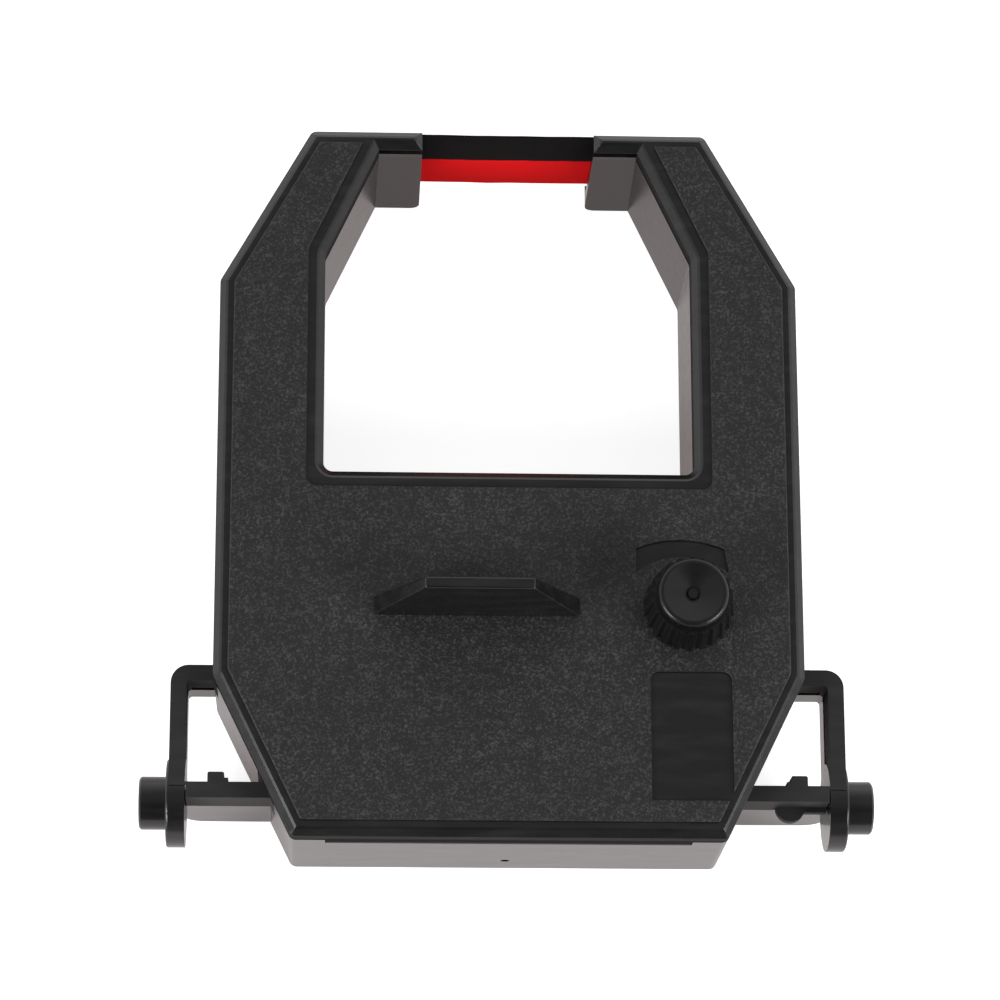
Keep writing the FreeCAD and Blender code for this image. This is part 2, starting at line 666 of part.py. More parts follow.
def top_cover():
    """Cover with its border, panel, fin, recesses, snap pins and upper bracket halves."""
    cover = shell_plate().cut(chamber(SEAM_Z - OVERCUT, CEILING_Z))
    over_pads = box(TIP_GAP / 2 - OVERCUT, REAR_WALL_END_X, WINDOW_REAR_Y - TOUCH, REAR_Y + OVERCUT,
                    SEAM_Z - OVERCUT, CEILING_Z)
    cover = cover.cut([over_pads, mirrored(over_pads)])
    upper = upper_bracket()
    lip = tongue(0, SEAM_Z + OVERLAP)
    cover = cover.fuse([panel(), lip, upper, mirrored(upper), front_hook(), grip_fin()])
    cover = cover.cut([label_recess(), turning_mark()])
    for x, y in snap_places():
        pin = post(x, y, SEAM_Z - SNAP_DEPTH, CEILING_Z + OVERLAP, SNAP_RADIUS)
        tip = [e for e in pin.Edges if e.BoundBox.ZMax < SEAM_Z - SNAP_DEPTH + TOUCH]
        cover = cover.fuse(pin.makeChamfer(SNAP_RADIUS / 3, tip))
    stem_hole = post(DRIVE_X, DRIVE_Y, CEILING_Z - OVERCUT, PANEL_Z + OVERCUT,
                     STEM_RADIUS + JOURNAL_CLEARANCE)
    return cover.cut(stem_hole).removeSplitter()


# Feed roller and knob

def feed_knob():
    """Knurled skirt under a smooth cap with a dished face and a centre nub, on a flatted stem."""
    base = PANEL_Z + KNOB_GAP
    top = base + KNOB_HEIGHT
    shoulder = top - KNOB_SHOULDER
    skirt = turned([(0, base), (KNOB_BASE_RADIUS, base), (KNOB_TOP_RADIUS, shoulder), (0, shoulder)])
    cap = turned([(0, base), (KNOB_CAP_RADIUS, base), (KNOB_CAP_RADIUS, top), (KNOB_FACE_RADIUS, top),
                  (KNOB_NUB_RADIUS, top - KNOB_DISH), (KNOB_NUB_RADIUS, top - KNOB_DISH + KNOB_NUB_HEIGHT),
                  (0, top - KNOB_DISH + KNOB_NUB_HEIGHT)])
    upper_edges = [e for e in cap.Edges if e.BoundBox.ZMin > top - TOUCH]
    rim = [e for e in upper_edges if e.BoundBox.XMax > KNOB_CAP_RADIUS - TOUCH]
    cap = cap.makeFillet(KNOB_CAP_ROUND, rim)
    lean = math.atan2(KNOB_BASE_RADIUS - KNOB_TOP_RADIUS, KNOB_HEIGHT - KNOB_SHOULDER)
    axis = Vector(-math.sin(lean), 0, math.cos(lean))
    start = Vector(KNOB_BASE_RADIUS + KNURL_RADIUS - KNURL_BITE, 0, base) - axis * OVERCUT
    groove = Part.makeCylinder(KNURL_RADIUS, KNOB_HEIGHT + 2 * OVERCUT, start, axis)
    grooves = []
    for i in range(KNURLS):
        cutter = groove.copy()
        cutter.rotate(Vector(0, 0, 0), Vector(0, 0, 1), 360 * i / KNURLS)
        grooves.append(cutter)
    body = skirt.cut(grooves).fuse(cap)
    stem = flatted(STEM_RADIUS, STEM_FLAT, STEM_BOTTOM_Z, ROLLER_TOP_Z)
    stem = stem.fuse(post(0, 0, ROLLER_TOP_Z, base + OVERLAP, STEM_RADIUS))
    knob = body.fuse(stem).removeSplitter()
    knob.translate(Vector(DRIVE_X, DRIVE_Y, 0))
    return knob


def turned(profile):
    """Solid of revolution round the Z axis from a half profile of radius and height."""
    points = [Vector(radius, 0, z) for radius, z in profile]
    return Part.Face(Part.makePolygon(points + points[:1])).revolve(Vector(0, 0, 0), Vector(0, 0, 1), 360)


def flatted(radius, flat, bottom, top):
    """Round bar on the Z axis with one flat, at a distance from its centre."""
    bar = post(0, 0, bottom, top, radius)
    reach = radius + OVERCUT
    return bar.cut(box(flat, reach, -reach, reach, bottom - OVERCUT, top + OVERCUT))


def drive_roller():
    """Fluted roller with stripper grooves, a lower journal, a hexagonal socket and a flatted bore."""
    roller = post(0, 0, ROLLER_BOTTOM_Z, ROLLER_TOP_Z, ROLLER_RADIUS)
    reach = ROLLER_RADIUS + FLUTE_RADIUS - FLUTE_DEPTH
    flutes = []
    for i in range(FLUTES):
        angle = 2 * math.pi * i / FLUTES
        flutes.append(post(reach * math.cos(angle), reach * math.sin(angle), ROLLER_BOTTOM_Z - OVERCUT,
                           ROLLER_TOP_Z + OVERCUT, FLUTE_RADIUS))
    roller = roller.cut(flutes)
    for level in GROOVE_LEVELS:
        ring = post(0, 0, level, level + GROOVE_HEIGHT, ROLLER_RADIUS + OVERCUT)
        roller = roller.cut(ring.cut(post(0, 0, level, level + GROOVE_HEIGHT, GROOVE_RADIUS)))
    roller = roller.fuse(post(0, 0, JOURNAL_LIFT, ROLLER_BOTTOM_Z + OVERLAP, JOURNAL_RADIUS))
    corner = SOCKET_FLATS / math.sqrt(3)
    angles = [math.radians(60 * i) for i in range(6)]
    hexagon = [(corner * math.cos(angle), corner * math.sin(angle)) for angle in angles]
    roller = roller.cut(prism(hexagon, 0, JOURNAL_LIFT - OVERCUT, JOURNAL_LIFT + SOCKET_DEPTH))
    roller = roller.cut(flatted(STEM_RADIUS, STEM_FLAT, STEM_BOTTOM_Z, ROLLER_TOP_Z + OVERCUT))
    roller.translate(Vector(DRIVE_X, DRIVE_Y, 0))
    return roller


# Pressure roller, fork and spring

def hub_span():
    return FORK_BOTTOM_Z + FORK_PLATE + END_CLEARANCE, FORK_TOP_Z - FORK_PLATE - END_CLEARANCE


def idler_roller():
    bottom, top = hub_span()
    hub = post(DRIVE_X, IDLER_Y, bottom, top, HUB_RADIUS)
    return hub.cut(post(DRIVE_X, IDLER_Y, bottom - OVERCUT, top + OVERCUT, AXLE_RADIUS + AXLE_CLEARANCE))


def idler_tyre():
    bottom, top = hub_span()
    tyre = post(DRIVE_X, IDLER_Y, bottom + END_CLEARANCE, top - END_CLEARANCE, ROLLER_RADIUS)
    return tyre.cut(post(DRIVE_X, IDLER_Y, bottom, top, HUB_RADIUS))


def idler_axle():
    axle = post(DRIVE_X, IDLER_Y, FORK_BOTTOM_Z, FORK_TOP_Z, AXLE_RADIUS)
    return axle.makeChamfer(AXLE_CHAMFER, [e for e in axle.Edges if e.BoundBox.ZLength < TOUCH])


def pinch_lever():
    """Fork of two plates on a pivot sleeve, joined by a web behind the roller."""
    web_y = IDLER_Y - ROLLER_RADIUS - FORK_WEB_GAP
    side = PIVOT_SLEEVE_RADIUS * math.sqrt(0.5)
    rim_y = IDLER_Y + AXLE_RADIUS + FORK_RIM
    plate = [(DRIVE_X - FORK_WEB_HALF, web_y - FORK_WEB), (DRIVE_X + FORK_WEB_HALF, web_y - FORK_WEB),
             (PIVOT_X + side, IDLER_Y - side), (PIVOT_X, IDLER_Y + side),
             (DRIVE_X + FORK_NOSE, rim_y), (DRIVE_X - FORK_NOSE, rim_y)]
    fork = prism(plate, FORK_ROUND, FORK_BOTTOM_Z, FORK_BOTTOM_Z + FORK_PLATE)
    upper = prism(plate, FORK_ROUND, FORK_TOP_Z - FORK_PLATE, FORK_TOP_Z)
    sleeve_bar = post(PIVOT_X, IDLER_Y, FORK_BOTTOM_Z, FORK_TOP_Z, PIVOT_SLEEVE_RADIUS)
    web_half = FORK_WEB_HALF - FORK_WEB_INSET
    web = box(DRIVE_X - web_half, DRIVE_X + web_half, web_y - FORK_WEB, web_y, FORK_BOTTOM_Z, FORK_TOP_Z)
    pivot_bore = post(PIVOT_X, IDLER_Y, 0, FORK_TOP_Z + OVERCUT, PIVOT_POST_RADIUS + PIVOT_CLEARANCE)
    axle_bore = post(DRIVE_X, IDLER_Y, 0, FORK_TOP_Z + OVERCUT, AXLE_RADIUS)
    return fork.fuse([upper, sleeve_bar, web]).cut([pivot_bore, axle_bore]).removeSplitter()


def leaf(points):
    """Strip of spring steel on edge, bent along an open line, with its thickness to the left of the line."""
    headings = []
    for (ax, ay), (bx, by) in zip(points, points[1:]):
        headings.append(math.atan2(by - ay, bx - ax))
    shifted = []
    for i, (x, y) in enumerate(points):
        last = headings[max(i - 1, 0)]
        here = headings[min(i, len(headings) - 1)]
        reach = LEAF_THICK / math.cos((here - last) / 2)
        middle = (last + here) / 2
        shifted.append((x - reach * math.sin(middle), y + reach * math.cos(middle)))
    bends = [0] + [LEAF_BEND] * (len(points) - 2) + [0]
    return prism(points + shifted[::-1], bends * 2, LEAF_BOTTOM_Z, LEAF_BOTTOM_Z + LEAF_HEIGHT)


def pinch_foot_x():
    return DIVIDER_X + DIVIDER_THICK + PINCH_LEAF_GAP


def pinch_middle_x():
    return pinch_foot_x() + PINCH_LEAF_FOOT / 2


def pinch_spring():
    """Leaf whose feet stand on the front wall and whose crown faces the fork's web."""
    left = pinch_foot_x()
    half_crown = PINCH_LEAF_CROWN / 2
    middle = pinch_middle_x()
    crown_y = IDLER_Y - ROLLER_RADIUS - FORK_WEB_GAP - FORK_WEB - PINCH_LEAF_REST
    foot_y = FRONT_Y + WALL
    return leaf([(left, foot_y), (middle - half_crown, crown_y - LEAF_THICK),
                 (middle + half_crown, crown_y - LEAF_THICK), (left + PINCH_LEAF_FOOT, foot_y)])


# Drag spring, pad and stripper

def pad_back_x():
    return LEFT_RUN_X - RIBBON_THICK / 2 - PAD_GAP - PAD_DEPTH


def drag_pad():
    return box(pad_back_x(), pad_back_x() + PAD_DEPTH, PAD_Y - PAD_WIDTH / 2, PAD_Y + PAD_WIDTH / 2,
               LEAF_BOTTOM_Z, LEAF_BOTTOM_Z + LEAF_HEIGHT)


def drag_legs():
    """Where the drag spring's two legs meet the wall, front and rear."""
    return PAD_Y - PAD_WIDTH / 2 - DRAG_LEG_FRONT, PAD_Y + PAD_WIDTH / 2 + DRAG_LEG_REAR


def drag_spring():
    """Leaf with a flat middle behind the pad and two legs that rest on the outer wall."""
    wall_x = -BODY_WIDTH / 2 + WALL
    back = pad_back_x()
    front_end, rear_end = drag_legs()
    return leaf([(wall_x + LEAF_THICK, front_end), (back, PAD_Y - PAD_WIDTH / 2),
                 (back, PAD_Y + PAD_WIDTH / 2), (wall_x + LEAF_THICK, rear_end)])


def stripper_comb():
    """Plate at the mouth of the divider with two fingers that reach into the roller's grooves."""
    far_x = DIVIDER_X + DIVIDER_THICK
    rear_y = NIP_Y + DIVIDER_MOUTH
    front_y = rear_y - FINGER_THICK
    plate = box(DIVIDER_X, far_x, front_y, rear_y, FLOOR, ROLLER_TOP_Z)
    fingers = []
    for level in GROOVE_LEVELS:
        low = level + (GROOVE_HEIGHT - FINGER_HEIGHT) / 2
        tip_x = far_x + FINGER_REACH
        shape = [(far_x - OVERLAP, front_y), (tip_x, front_y), (tip_x, rear_y - FINGER_THICK / 2),
                 (far_x, rear_y), (far_x - OVERLAP, rear_y)]
        fingers.append(prism(shape, 0, low, low + FINGER_HEIGHT))
    return plate.fuse(fingers).removeSplitter()


# Guide sleeves

def sleeve(x, y):
    roller = post(x, y, SLEEVE_BOTTOM_Z, SLEEVE_TOP_Z, SLEEVE_RADIUS)
    rims = [e for e in roller.Edges if e.BoundBox.ZLength < TOUCH]
    roller = roller.makeChamfer(SLEEVE_CHAMFER, rims)
    return roller.cut(post(x, y, 0, SLEEVE_TOP_Z + OVERCUT, SLEEVE_POST_RADIUS + SLEEVE_CLEARANCE))


# Ribbon, one endless strip that passes round every guide in turn

def fold_turns():
    """Half turns of the folded pack, front and rear in turn, from the entry side to the exit side."""
    turns = [(PACK_ENTRY_X + FOLD_PITCH / 2, NIP_Y + FOLD_PITCH / 2, FOLD_PITCH / 2, -1)]
    x = PACK_ENTRY_X
    for i in range(2 * FOLDS):
        rear = i % 2 == 0
        wander = FOLD_WANDER * math.sin(FOLD_PHASE * i)
        y = (FOLD_REAR_Y if rear else FOLD_FRONT_Y) + (-abs(wander) if rear else abs(wander))
        turns.append((x - FOLD_PITCH / 2, y, FOLD_PITCH / 2, 1 if rear else -1))
        x -= FOLD_PITCH
    return turns


def guides():
    """Every circle that the ribbon's middle line wraps: centre, radius, and the way it turns."""
    entry_x, entry_y = entry_centre()
    tip = SLEEVE_RADIUS + WRAP
    bare = GUIDE_POST_RADIUS + WRAP
    nose = NOSE_RADIUS + WRAP
    path = [(NOSE_X, NOSE_Y, nose, -1), (TIP_ROLLER_X, TIP_ROLLER_Y, tip, -1),
            (SHOULDER_POST_X, SHOULDER_POST_Y, bare, -1), (entry_x, entry_y, tip, -1)]
    path += fold_turns()
    path += [(EXIT_POST_X, EXIT_POST_Y, bare, 1), (arm_post_x(), ARM_POST_Y, bare, -1),
             (-SHOULDER_POST_X, SHOULDER_POST_Y, bare, -1), (-TIP_ROLLER_X, TIP_ROLLER_Y, tip, -1),
             (-NOSE_X, NOSE_Y, nose, -1)]
    return path


def strip_face(path, shift):
    """Closed face bounded by the path's tangent lines and arcs, moved to its left by shift."""
    count = len(path)
    spans = []
    for i, (ax, ay, ar, aw) in enumerate(path):
        bx, by, br, bw = path[(i + 1) % count]
        ra, rb = aw * ar, bw * br
        dx, dy = bx - ax, by - ay
        length = math.hypot(dx, dy)
        lean = math.asin((rb - ra) / length)
        heading = math.atan2(dy, dx) - lean
        left = (-math.sin(heading), math.cos(heading))
        start = (ax - left[0] * (ra - shift), ay - left[1] * (ra - shift))
        end = (bx - left[0] * (rb - shift), by - left[1] * (rb - shift))
        spans.append((start, end, heading))
    edges = []
    for i, (cx, cy, radius, way) in enumerate(path):
        last, here = spans[i - 1], spans[i]
        turn = (here[2] - last[2]) * way
        turn = (turn + math.pi) % (2 * math.pi) - math.pi
        if turn < 0:
            turn += 2 * math.pi
        middle = last[2] + way * turn / 2
        reach = way * radius - shift
        crown = (cx + math.sin(middle) * reach, cy - math.cos(middle) * reach)
        ends = [Vector(*last[1], 0), Vector(*crown, 0), Vector(*here[0], 0)]
        edges.append(Part.Arc(*ends).toShape())
        edges.append(Part.LineSegment(Vector(*here[0], 0), Vector(*here[1], 0)).toShape())
    return Part.Face(Part.Wire(edges))


def ink_ribbon():
    path = guides()
    faces = [strip_face(path, shift) for shift in (-RIBBON_THICK / 2, RIBBON_THICK / 2)]
    faces.sort(key=lambda face: face.Area)
    strip = faces[1].cut(faces[0]).extrude(Vector(0, 0, RIBBON_WIDTH))
    strip.translate(Vector(0, 0, RIBBON_BOTTOM_Z))
    print("ribbon length", round(strip.Volume / RIBBON_WIDTH / RIBBON_THICK, 1))
    return strip


# Export

def main():
    os.makedirs("parts", exist_ok=True)
    entry_x, entry_y = entry_centre()
    nodes = {
        "base_tray": base_tray(),
        "top_cover": top_cover(),
        "feed_knob": feed_knob(),
        "drive_roller": drive_roller(),
        "idler_roller": idler_roller(),
        "idler_tyre": idler_tyre(),
        "idler_axle": idler_axle(),
        "pinch_lever": pinch_lever(),
        "pinch_spring": pinch_spring(),
        "stripper_comb": stripper_comb(),
        "drag_spring": drag_spring(),
        "drag_pad": drag_pad(),
        "entry_roller": sleeve(entry_x, entry_y),
        "left_tip_roller": sleeve(-TIP_ROLLER_X, TIP_ROLLER_Y),
        "right_tip_roller": sleeve(TIP_ROLLER_X, TIP_ROLLER_Y),
        "ink_ribbon": ink_ribbon(),
    }
    for name, shape in nodes.items():
        print(name, "solids", len(shape.Solids), "valid", shape.isValid(), "volume", round(shape.Volume, 1))
        shape.exportStep("parts/" + name + ".step")


main()
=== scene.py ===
# %% [markdown]
# Looks of a printer ribbon cartridge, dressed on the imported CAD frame.
# Every length is in metres, in the frame of the CAD: X along the exposed ribbon, +Y from the front wall
# to the ribbon, +Z up, and the floor at zero.
# The housing, the knob and the inner pieces are hard, so they keep the solids of the CAD and only get a
# finish. The fabric ribbon is the one soft piece: it is made here from the strip's own solid, with rows,
# columns and a slight wave.

import math

import bmesh
import bpy
import numpy as np
from mathutils import Matrix, Vector


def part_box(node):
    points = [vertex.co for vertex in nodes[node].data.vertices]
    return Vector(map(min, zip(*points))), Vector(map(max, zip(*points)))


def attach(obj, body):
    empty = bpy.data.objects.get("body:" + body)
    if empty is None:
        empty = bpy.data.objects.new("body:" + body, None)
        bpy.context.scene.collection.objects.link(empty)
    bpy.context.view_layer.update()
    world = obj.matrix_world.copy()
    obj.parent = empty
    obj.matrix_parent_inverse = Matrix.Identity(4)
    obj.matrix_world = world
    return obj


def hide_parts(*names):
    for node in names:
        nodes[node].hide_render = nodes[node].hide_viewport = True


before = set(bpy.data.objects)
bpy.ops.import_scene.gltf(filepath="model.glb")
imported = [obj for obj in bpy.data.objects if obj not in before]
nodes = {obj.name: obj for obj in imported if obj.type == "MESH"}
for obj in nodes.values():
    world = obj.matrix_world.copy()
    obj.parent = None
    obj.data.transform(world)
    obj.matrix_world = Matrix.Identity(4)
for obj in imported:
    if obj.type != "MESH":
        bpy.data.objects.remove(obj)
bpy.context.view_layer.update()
MM = 0.001
print("CAD nodes", len(nodes))

# %% [markdown]
# Places that the materials need are read from the frame's boxes, so they follow the CAD.
# The fin is the cover's highest point, so the panel that it stands on lies one fin's height lower.

# %% Height of the panel
FIN_HEIGHT = 9.0 * MM
PANEL_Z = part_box("top_cover")[1].z - FIN_HEIGHT
print("panel height mm", round(PANEL_Z / MM, 2))


# %% [markdown]
# A pattern on a surface is a sum of many small nodes, which is hard to read as a list of nodes and links.
# Value wraps one output of a node, and each of its operators adds a Math node, so that a pattern is written
# as an ordinary sum.

# %% Sums on sockets
class Value:
    """An output of a node that adds, subtracts and multiplies like a number."""

    def __init__(self, shader, output):
        self.shader = shader
        self.output = output

    def calc(self, operation, *values):
        return self.shader.add("Math", values, operation=operation)

    def __add__(self, other):
        return self.calc("ADD", self, other)

    def __sub__(self, other):
        return self.calc("SUBTRACT", self, other)

    def __rsub__(self, other):
        return self.calc("SUBTRACT", other, self)

    def __mul__(self, other):
        return self.calc("MULTIPLY", self, other)

    __radd__ = __add__
    __rmul__ = __mul__

    def above(self, edge, blend):
        """0 below the edge and 1 above it, with a soft step as wide as the blend."""
        low, high = edge - blend / 2, edge + blend / 2
        return self.shader.add("MapRange", {"Value": self, "From Min": low, "From Max": high})

    def between(self, low, high, blend):
        """1 from low to high and 0 elsewhere."""
        return self.above(low, blend) * (1 - self.above(high, blend))


# %% [markdown]
# A material starts with one surface shader. This class holds it, has one method that adds any other node, and
# names the few patterns that the finishes below share. The same class serves the world.

# %% Materials
class Shader:
    """One material, or the world, with its surface shader and one method that adds any node."""

    COLOUR_LOW, COLOUR_HIGH, COLOUR_RESULT = 6, 7, 2

    def __init__(self, name, make=bpy.data.materials.new, place="Object"):
        self.material = make(name)
        self.material.use_nodes = True
        self.tree = self.material.node_tree
        self.surface = self.find("BSDF_PRINCIPLED", "BACKGROUND")
        self.place = self.add("TexCoord", output=place)

    def find(self, *kinds):
        """The node of one of these kinds that a new material or world already has."""
        return next(node for node in self.tree.nodes if node.type in kinds)

    def add(self, kind, inputs=(), output=0, **settings):
        """Adds a node, sets its options, and links or sets its inputs by name or by order."""
        node = self.tree.nodes.new("ShaderNode" + kind)
        for key, value in settings.items():
            setattr(node, key, value)
        pairs = inputs.items() if isinstance(inputs, dict) else enumerate(inputs)
        for key, value in pairs:
            self.feed(node.inputs[key], value)
        return Value(self, node.outputs[output])

    def feed(self, socket, value):
        if isinstance(value, Value):
            self.tree.links.new(value.output, socket)
        else:
            socket.default_value = value

    def set(self, **values):
        """Sets or links inputs of the surface shader, with _ for a space in a name."""
        for key, value in values.items():
            self.feed(self.surface.inputs[key.replace("_", " ")], value)

    def axis(self, letter):
        return self.add("SeparateXYZ", [self.place], output=letter)

    def noise(self, grain, detail=2.0, roughness=0.5, stretch=(1, 1, 1)):
        """Noise from 0 to 1 whose features are about one grain long, stretched along the axes."""
        scale = tuple(1 / (grain * s) for s in stretch)
        where = self.add("Mapping", {"Vector": self.place, "Scale": scale})
        given = {"Vector": where, "Scale": 1.0, "Detail": detail, "Roughness": roughness}
        return self.add("TexNoise", given)

    def colours(self, low, high, share):
        """Blend of two colours, each one written as numbers or taken from another node."""
        low, high = ((*side, 1) if isinstance(side, tuple) else side for side in (low, high))
        given = {"Factor": share, self.COLOUR_LOW: low, self.COLOUR_HIGH: high}
        return self.add("Mix", given, output=self.COLOUR_RESULT, data_type="RGBA")

    def paint_shade(self, share):
        """Paints shade: mixes the surface with one that is black and reflects nothing."""
        black = self.add("BsdfPrincipled", {"Base Color": (*NO_LIGHT, 1), "Specular IOR Level": 0.0})
        shine = Value(self, self.surface.outputs[0])
        end = self.find("OUTPUT_MATERIAL")
        self.feed(end.inputs["Surface"], self.add("MixShader", [share, shine, black]))

    def bump(self, height, depth):
        """Normal of a surface that rises by depth where the height is 1."""
        self.set(Normal=self.add("Bump", {"Height": height, "Distance": depth, "Strength": 1.0}))


# %% [markdown]
# Nearly every colour here is a grey with a little warmth. A CAD node keeps its mesh and only changes the
# material in its slots.

# %% Colours and slots
def grey(level, warmth=0.0):
    """A grey of that level, with red above it and blue below it by the share warmth."""
    return (level * (1 + warmth), level, level * (1 - warmth))


NO_LIGHT = grey(0.004)


def dress(shader, names):
    """Gives one material to the named CAD nodes."""
    for name in names:
        slots = nodes[name].data.materials
        slots.clear()
        slots.append(shader.material)
    print(shader.material.name, "on", ", ".join(names))


# %% [markdown]
# The housing is glossy black polystyrene. Only the raised panel has the spark grain of its mould: fine pits
# and peaks about a third of a millimetre apart, which dull it and catch light in specks. A displaced mesh
# could show them too, with several hundred thousand faces, so noise makes the grain as bump and the specks as
# painted glints in the colour.
# The panel is told from the border, the recesses and the fin by its height alone. So are the cover's
# upright faces, which have the dull finish of a mould that was polished only on its flat side. They are also
# darkened with painted shade, a black that reflects nothing mixed into their surface, darkest as a painted
# shadow line on the lip that drops into the front wall.

# %% Housing plastic
HOUSING_BLACK = grey(0.006, 0.02)
HOUSING_RUBBED = grey(0.014, 0.03)
PANEL_GLINT_SPECK = grey(0.074, 0.02)
GRAIN = 0.30 * MM
GRAIN_DEPTH = 0.07 * MM
GLINT_LEVEL, GLINT_BLEND = 0.68, 0.40
RUB_LEVEL, RUB_BLEND = 0.60, 0.35
CLOUD = 9 * MM
SCUFF = 1.1 * MM
PANEL_BAND = (PANEL_Z - 0.08 * MM, PANEL_Z + 0.04 * MM)
PANEL_BLEND = 0.02 * MM
BEVEL_FOOT_Z = PANEL_Z - 1.0 * MM
GAP_Z = PANEL_Z - 2.3 * MM
LIP_FOOT_Z = PANEL_Z - 3.8 * MM
SIDE_BLEND = 0.05 * MM


def panel_grain(shader):
    """Height of the grain, which is two noises added, and its specks of painted glint, where the sum stands
    above a level that a third, wider noise raises and lowers."""
    coarse = shader.noise(GRAIN, detail=1.0)
    fine = shader.noise(GRAIN * 0.5, detail=1.0)
    patch = shader.noise(GRAIN * 5, detail=1.0)
    height = coarse * 0.6 + fine * 0.4
    return height, (height + (patch - 0.5) * 0.20).above(GLINT_LEVEL, GLINT_BLEND)


def housing_plastic(name, dull_and_shaded_sides):
    """Glossy black with rubbed streaks along X, the grain and its painted glints where the height is the
    panel's, and, where asked, dull upright faces below the bevel that are darkened with painted shade."""
    shader = Shader(name)
    height = shader.axis("Z")
    on_panel = height.between(*PANEL_BAND, PANEL_BLEND)
    grain, glint_specks = panel_grain(shader)
    cloud = shader.noise(CLOUD, detail=2.0)
    scuffs = shader.noise(SCUFF, detail=3.0, stretch=(5, 1, 1))
    # The light specks are painted glints where the grain's peaks stand high.
    panel_colour = shader.colours(HOUSING_BLACK, PANEL_GLINT_SPECK, glint_specks * (0.6 + cloud * 0.8))
    shell_colour = shader.colours(HOUSING_BLACK, HOUSING_RUBBED, scuffs.above(RUB_LEVEL, RUB_BLEND))
    roughness = 0.2 + 0.08 * scuffs + on_panel * (0.24 + 0.12 * cloud)
    if dull_and_shaded_sides:
        roughness = roughness + 0.5 * (1 - height.above(BEVEL_FOOT_Z, SIDE_BLEND))
    shader.set(Base_Color=shader.colours(shell_colour, panel_colour, on_panel), Roughness=roughness)
    shader.bump(on_panel * grain + (1 - on_panel) * cloud * 0.2, GRAIN_DEPTH)
    if dull_and_shaded_sides:
        # Painted shade: the upright faces from the lip's foot to the bevel are mixed with black, most below
        # GAP_Z as a painted shadow line.
        painted_skirt_shade = height.between(LIP_FOOT_Z, BEVEL_FOOT_Z, SIDE_BLEND)
        shader.paint_shade(painted_skirt_shade * (0.45 + 0.3 * (1 - height.above(GAP_Z, SIDE_BLEND))))
    return shader


dress(housing_plastic("tray_plastic", False), ["base_tray"])
dress(housing_plastic("cover_plastic", True), ["top_cover"])

# %% [markdown]
# The knob is moulded in the same black without grain. The rollers, sleeves, springs and the pad are inside
# and get the finish that such pieces have. Each finish is one noise at the scale of its own marks: flow marks
# in plastic, scratches along the grinding of steel, fibres in felt.

# %% Knob and inner pieces
def knob_plastic():
    shader = Shader("knob_plastic")
    flow = shader.noise(1.2 * MM, detail=2.0, stretch=(1, 1, 3))
    shader.set(Base_Color=shader.colours(grey(0.003), grey(0.005), flow), Roughness=0.27 + 0.1 * flow,
               Specular_IOR_Level=0.42)
    shader.bump(flow, 0.01 * MM)
    return shader


def acetal(name, dark, light):
    """Moulded acetal: a waxy body with faint flow marks."""
    shader = Shader(name)
    flow = shader.noise(2.0 * MM, detail=3.0, stretch=(1, 1, 4))
    shader.set(Base_Color=shader.colours(dark, light, flow), Roughness=0.38 + 0.15 * flow)
    shader.bump(flow, 0.01 * MM)
    return shader


def ground_steel(name, stretch):
    """Steel with fine scratches along one direction."""
    shader = Shader(name)
    scratches = shader.noise(0.06 * MM, detail=3.0, stretch=stretch)
    shader.set(Base_Color=shader.colours(grey(0.46), grey(0.62), scratches), Metallic=1.0,
               Roughness=0.22 + 0.2 * scratches)
    shader.bump(scratches, 0.004 * MM)
    return shader


def tyre_rubber():
    shader = Shader("tyre_rubber")
    grain = shader.noise(0.12 * MM, detail=3.0)
    shader.set(Base_Color=shader.colours(grey(0.018), grey(0.045), grain), Roughness=0.72 + 0.15 * grain)
    shader.bump(grain, 0.02 * MM)
    return shader


def wool_felt():
    shader = Shader("wool_felt")
    fibres = shader.noise(0.09 * MM, detail=4.0, roughness=0.7)
    shader.set(Base_Color=shader.colours(grey(0.35, 0.03), grey(0.62, 0.03), fibres), Roughness=0.95)
    shader.bump(fibres, 0.08 * MM)
    return shader


dress(knob_plastic(), ["feed_knob"])
dress(acetal("dark_acetal", grey(0.03), grey(0.055)),
      ["drive_roller", "idler_roller", "pinch_lever", "stripper_comb"])
dress(acetal("natural_acetal", grey(0.5, 0.03), grey(0.66, 0.03)),
      ["entry_roller", "left_tip_roller", "right_tip_roller"])
dress(ground_steel("axle_steel", (1, 1, 12)), ["idler_axle"])
dress(ground_steel("spring_steel", (12, 12, 1)), ["pinch_spring", "drag_spring"])
dress(tyre_rubber(), ["idler_tyre"])
dress(wool_felt(), ["drag_pad"])

# %% [markdown]
# The ribbon is woven nylon, 13 mm wide. A cloth simulation could shape it, but it is pulled tight between the
# arm tips and shows hardly any slack, so two sine waves are enough.

# %% Ribbon sizes
ribbon_low, ribbon_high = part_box("ink_ribbon")
RIBBON_HEIGHT = ribbon_high.z - ribbon_low.z
RIBBON_ROWS = 8
SPAN_HALF = 8.8 * MM
SPAN_COLUMNS = 44
SPAN_DEPTH = 1.0 * MM
WAVE_REACH = 0.03 * MM
WAVE_LENGTH = 7.5 * MM
SAME_POINT = 1e-7
FLAT_TURN = math.radians(0.5)
SHARP_TURN = math.radians(40)
print("ribbon height mm", round(RIBBON_HEIGHT / MM, 2))


# %% [markdown]
# The strip is cut into rows and, where it crosses the window, into columns, so that the free span has points
# that can move. A strip drawn anew on a grid would have to repeat the whole path round the rollers, and the
# CAD's own mesh already has it. Everything but the free span stays where the CAD has it.

# %% Ribbon mesh
def cut_across(work, places, axis, keep):
    """Cuts the kept faces of a mesh with planes square to one axis."""
    for place in places:
        faces = [f for f in work.faces if keep(f)]
        parts = list({v for f in faces for v in f.verts}) + list({e for f in faces for e in f.edges}) + faces
        bmesh.ops.bisect_plane(work, geom=parts, plane_co=axis * place, plane_no=axis, dist=SAME_POINT)


